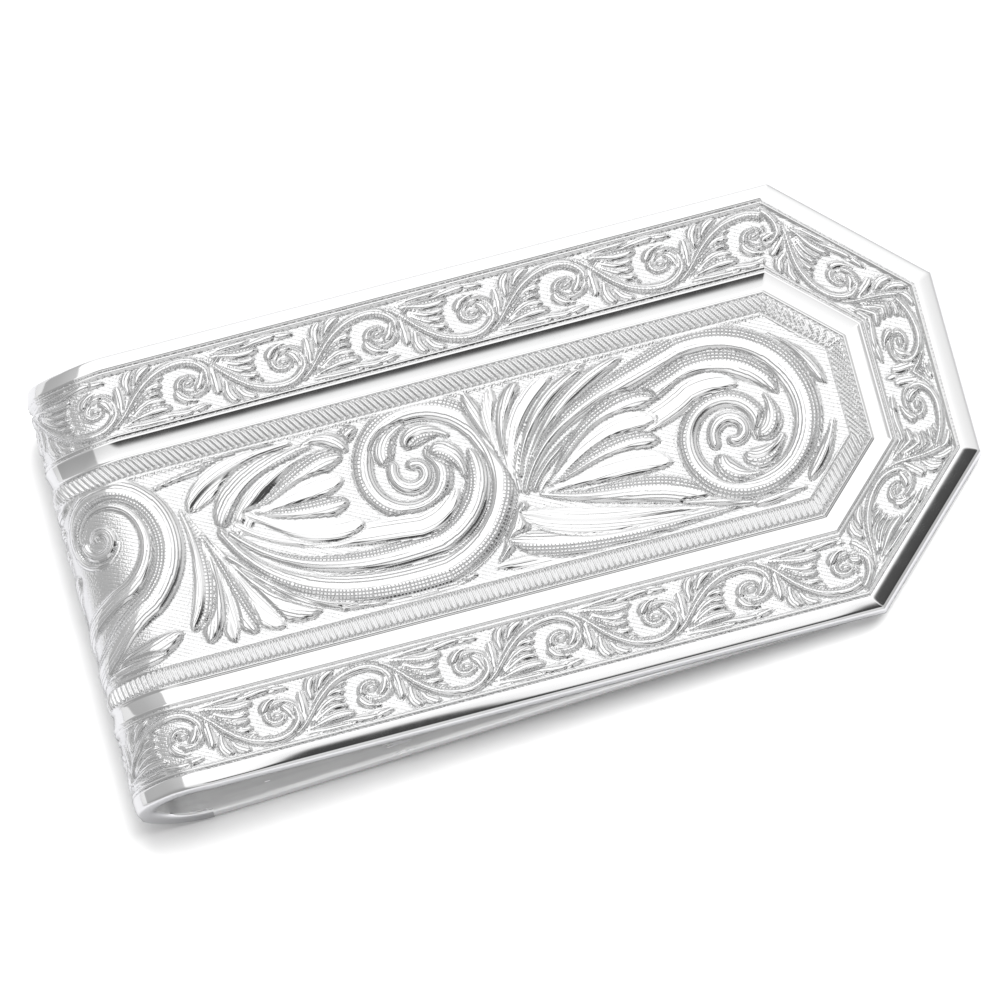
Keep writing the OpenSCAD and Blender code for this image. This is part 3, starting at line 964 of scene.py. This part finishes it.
def engraved_silver():
    g = Graph("engraved_silver")
    bare, lines, beads = g.attribute("bare"), g.attribute("lines"), g.attribute("beads")
    across, along = g.attribute("across"), g.attribute("along")
    # graver's cuts that follow each leaf
    wave = g.math("PINGPONG", g.math("ADD", across, ABOVE_ZERO), CUT_HALF)
    groove = g.ramp(wave, 0.0, 0.042, 1.0, 0.0)
    groove = g.math("MULTIPLY", groove, lines)
    # rows of small beads along a leaf's edge
    cell_a = g.math("PINGPONG", along, BEAD_HALF)
    cell_b = g.math("PINGPONG", g.math("ADD", across, ABOVE_ZERO), BEAD_HALF)
    bead = g.math("MAXIMUM", g.ramp(cell_a, 0.0, 0.045, 1.0, 0.0), g.ramp(cell_b, 0.0, 0.045, 1.0, 0.0))
    bead = g.math("MULTIPLY", bead, beads)
    # slanting hatch on the bare ground
    spread = node(g.tree, "ShaderNodeSeparateXYZ")
    g.link(node(g.tree, "ShaderNodeTexCoord").outputs["Object"], spread.inputs[0])
    slant = g.math("ADD", spread.outputs[1], g.math("MULTIPLY", spread.outputs[0], 0.55))
    hatch = g.math("PINGPONG", g.math("ADD", slant, ABOVE_ZERO), HATCH_HALF)
    hatch = g.math("MULTIPLY", g.ramp(hatch, 0.0, 0.00005, 1.0, 0.0), g.ramp(bare, 0.5, 1.0, 0.0, 0.2))
    cut = g.math("MAXIMUM", groove, g.math("MAXIMUM", bead, hatch), clamp=True)
    # 1 on a leaf past its root, 0 on the bare ground and the polished bands
    worked = g.ramp(along, 0.0, 0.02, 0.0, 1.0)
    # stippled ground
    cells = node(g.tree, "ShaderNodeTexVoronoi", feature="F1")
    g.link(node(g.tree, "ShaderNodeTexCoord").outputs["Object"], cells.inputs["Vector"])
    cells.inputs["Scale"].default_value = STIPPLE_SCALE
    stipple = g.math("MULTIPLY", cells.outputs["Distance"], bare)
    haze = g.noise(900, 3)
    # painted shade: the base colour is darkened in the graver's cuts, the beads and the hatching, and
    # wherever the mesh is marked bare (the sunken ground and some grooves), with a random haze there; a
    # slight grey is added on the worked leaves
    dark = g.math("ADD", g.math("MULTIPLY", cut, 0.66), g.math("MULTIPLY", worked, 0.05))
    dark = g.math("ADD", dark, g.math("MULTIPLY", bare, g.ramp(haze, 0.3, 0.7, 0.16, 0.34)), clamp=True)
    g.link(g.colour(dark, (0.95, 0.95, 0.952), (0.75, 0.752, 0.758)), g.shader.inputs["Base Color"])
    rough = g.math("ADD", g.ramp(haze, 0.35, 0.65, 0.06, 0.10), g.math("MULTIPLY", dark, 0.22))
    g.link(rough, g.shader.inputs["Roughness"])
    g.shader.inputs["Metallic"].default_value = 1.0
    n = g.bump(g.math("SUBTRACT", 1.0, cut), 0.00005, 0.9)
    n = g.bump(stipple, 0.00002, 0.6, n)
    fine = g.noise(1500, 2, 0.5, (0.06, 1.0, 1.0))
    n = g.bump(fine, 0.0000012, 0.5, n)
    g.link(n, g.shader.inputs["Normal"])
    return g.mat


def plain_silver():
    """Brushed silver of the leaf and of the strip's inner side."""
    g = Graph("brushed_silver")
    fine = g.noise(2600, 3, 0.6, (0.05, 1.0, 1.0))
    broad = g.noise(220, 2, 0.5)
    streaks = g.ramp(fine, 0.3, 0.7, 0, 1)
    g.link(g.colour(streaks, (0.98, 0.98, 0.98), (0.90, 0.90, 0.902)), g.shader.inputs["Base Color"])
    rough = g.math("ADD", g.ramp(fine, 0.3, 0.7, 0.12, 0.24), g.ramp(broad, 0.4, 0.7, 0.0, 0.06))
    g.link(rough, g.shader.inputs["Roughness"])
    g.shader.inputs["Metallic"].default_value = 0.6
    g.link(g.bump(fine, 0.000006, 0.6), g.shader.inputs["Normal"])
    return g.mat


def floor_paper():
    """White paper with painted shade in the metal's reflections, which show it darker than it is."""
    g = Graph("floor_paper")
    grain = g.noise(300, 3)
    paper = g.colour(grain, (0.93, 0.93, 0.93), (0.95, 0.95, 0.95))
    # painted shade: rays reflected off the metal see the paper grey, as if it lay in shadow
    seen = node(g.tree, "ShaderNodeLightPath").outputs["Is Glossy Ray"]
    mixed = node(g.tree, "ShaderNodeMix", data_type="RGBA")
    g.link(seen, mixed.inputs["Factor"])
    g.link(paper, mixed.inputs["A"])
    mixed.inputs["B"].default_value = (0.42, 0.42, 0.43, 1)
    g.link(mixed.outputs["Result"], g.shader.inputs["Base Color"])
    g.shader.inputs["Roughness"].default_value = 0.9
    g.shader.inputs["Specular IOR Level"].default_value = 0.2
    return g.mat


# -------- pieces
face = face_piece()
brushed = plain_silver()
face.data.materials.append(engraved_silver())
face.data.materials.append(brushed)
leaf = leaf_piece()
leaf.data.materials.append(brushed)

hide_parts("front_plate", "bow")
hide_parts("spring_leaf")
# Two points above the heel's centre, just under the plate and near the bottom; nothing uses them.
top = world(C3[0], 0, HEIGHT - THICK - 0.3)
foot = world(C3[0], 0, 0.9)
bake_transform(face)
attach(leaf, "leaf")

# -------- floor, light, camera
bm = bmesh.new()
bmesh.ops.create_grid(bm, x_segments=8, y_segments=8, size=1.2)
mesh = bpy.data.meshes.new("floor")
bm.to_mesh(mesh)
bm.free()
floor = bpy.data.objects.new("floor", mesh)
bpy.context.scene.collection.objects.link(floor)
floor.location = (0, 0, -0.00002)
floor.data.materials.append(floor_paper())


def studio():
    """Surroundings as seen in the metal: bright above, with a grey card and two dark spots."""
    w = bpy.data.worlds.new("studio")
    bpy.context.scene.world = w
    w.use_nodes = True
    t = w.node_tree
    back = t.nodes["Background"]
    direction = node(t, "ShaderNodeTexCoord").outputs["Generated"]
    split = node(t, "ShaderNodeSeparateXYZ")
    t.links.new(direction, split.inputs[0])

    def put(n, k, v):
        if isinstance(v, (int, float)):
            n.inputs[k].default_value = v
        else:
            t.links.new(v, n.inputs[k])

    def calc(op, a, b=0.0):
        n = node(t, "ShaderNodeMath", operation=op)
        put(n, 0, a)
        put(n, 1, b)
        return n.outputs[0]

    def step(v, lo, hi, a=0.0, b=1.0):
        n = node(t, "ShaderNodeMapRange", interpolation_type="SMOOTHSTEP")
        put(n, "Value", v)
        for k, x in zip(("From Min", "From Max", "To Min", "To Max"), (lo, hi, a, b)):
            n.inputs[k].default_value = x
        return n.outputs["Result"]

    def toward(v):
        v = Vector(v).normalized()
        n = node(t, "ShaderNodeVectorMath", operation="DOT_PRODUCT")
        t.links.new(direction, n.inputs[0])
        n.inputs[1].default_value = v
        return n.outputs["Value"]

    x, y, z = split.outputs
    # soft gradients, brighter upwards, away from the viewer and to the left
    box = step(toward((0.10, 0.42, 0.90)), math.cos(math.radians(52)), math.cos(math.radians(20)), 0.0, 1.0)
    light = calc("ADD", step(z, 0.0, 0.6, 0.80, 0.93), calc("MULTIPLY", box, 0.25))
    light = calc("MULTIPLY", light, step(y, -0.28, 0.18, 0.76, 1.0))
    light = calc("MULTIPLY", light, step(x, 0.25, 0.6, 1.0, 0.74))
    # the grey card on the left
    slope = calc("DIVIDE", x, calc("MAXIMUM", z, 0.02))
    card = calc("MULTIPLY", step(slope, -0.43, -0.40, 1.0, 0.0), step(slope, -3.4, -2.8))
    card = calc("MULTIPLY", card, step(z, 0.10, 0.20))
    light = calc("MULTIPLY", light, step(card, 0.0, 1.0, 1.0, 0.5))
    # two soft dark spots above
    for at, wide, core in (((0.14, -0.37, 0.92), 15, 5), ((0.47, -0.03, 0.87), 17, 6)):
        hole = step(toward(at), math.cos(math.radians(wide)), math.cos(math.radians(core)))
        light = calc("MULTIPLY", light, step(hole, 0.0, 1.0, 1.0, 0.08))
    t.links.new(light, back.inputs["Strength"])
    back.inputs["Color"].default_value = (1, 1, 1, 1)


def softbox(name, at, size, power):
    """Area light aimed at the origin, not seen in reflections."""
    data = bpy.data.lights.new(name, "AREA")
    data.shape = "RECTANGLE"
    data.size, data.size_y = size
    data.energy = power
    obj = bpy.data.objects.new(name, data)
    bpy.context.scene.collection.objects.link(obj)
    obj.location = at
    obj.rotation_euler = (-Vector(at)).to_track_quat("-Z", "Y").to_euler()
    obj.visible_glossy = False


studio()
softbox("key", (0.22, 0.17, 0.54), (0.5, 0.5), 8.6)

# Camera: above and a little to the near side, turned so that the clip runs up to the right.
AZ, EL, ROLL = math.radians(-6.47), math.radians(72.15), math.radians(-8.47)
DISTANCE, SCALE = 1404.0, 16.855
AIM = (25.65, -1.27, HEIGHT)
back = Vector((math.sin(AZ) * math.cos(EL), -math.cos(AZ) * math.cos(EL), math.sin(EL)))
right = Vector((math.cos(AZ), math.sin(AZ), 0))
up = back.cross(right)
right, up = right * math.cos(ROLL) + up * math.sin(ROLL), up * math.cos(ROLL) - right * math.sin(ROLL)
cam_data = bpy.data.cameras.new("camera")
cam = bpy.data.objects.new("camera", cam_data)
bpy.context.scene.collection.objects.link(cam)
bpy.context.scene.camera = cam
axes = [turned(*v) for v in (right, up, back)]
place = Vector(world(*AIM).tolist()) + axes[2] * DISTANCE / 1000
cam.matrix_world = Matrix(((axes[0][0], axes[1][0], axes[2][0], place[0]),
                           (axes[0][1], axes[1][1], axes[2][1], place[1]),
                           (axes[0][2], axes[1][2], axes[2][2], place[2]),
                           (0, 0, 0, 1)))
cam_data.sensor_width = 36
cam_data.lens = 36 * SCALE * DISTANCE / 1000
cam_data.clip_start, cam_data.clip_end = 0.05, 20
bpy.context.scene.view_settings.view_transform = "Standard"
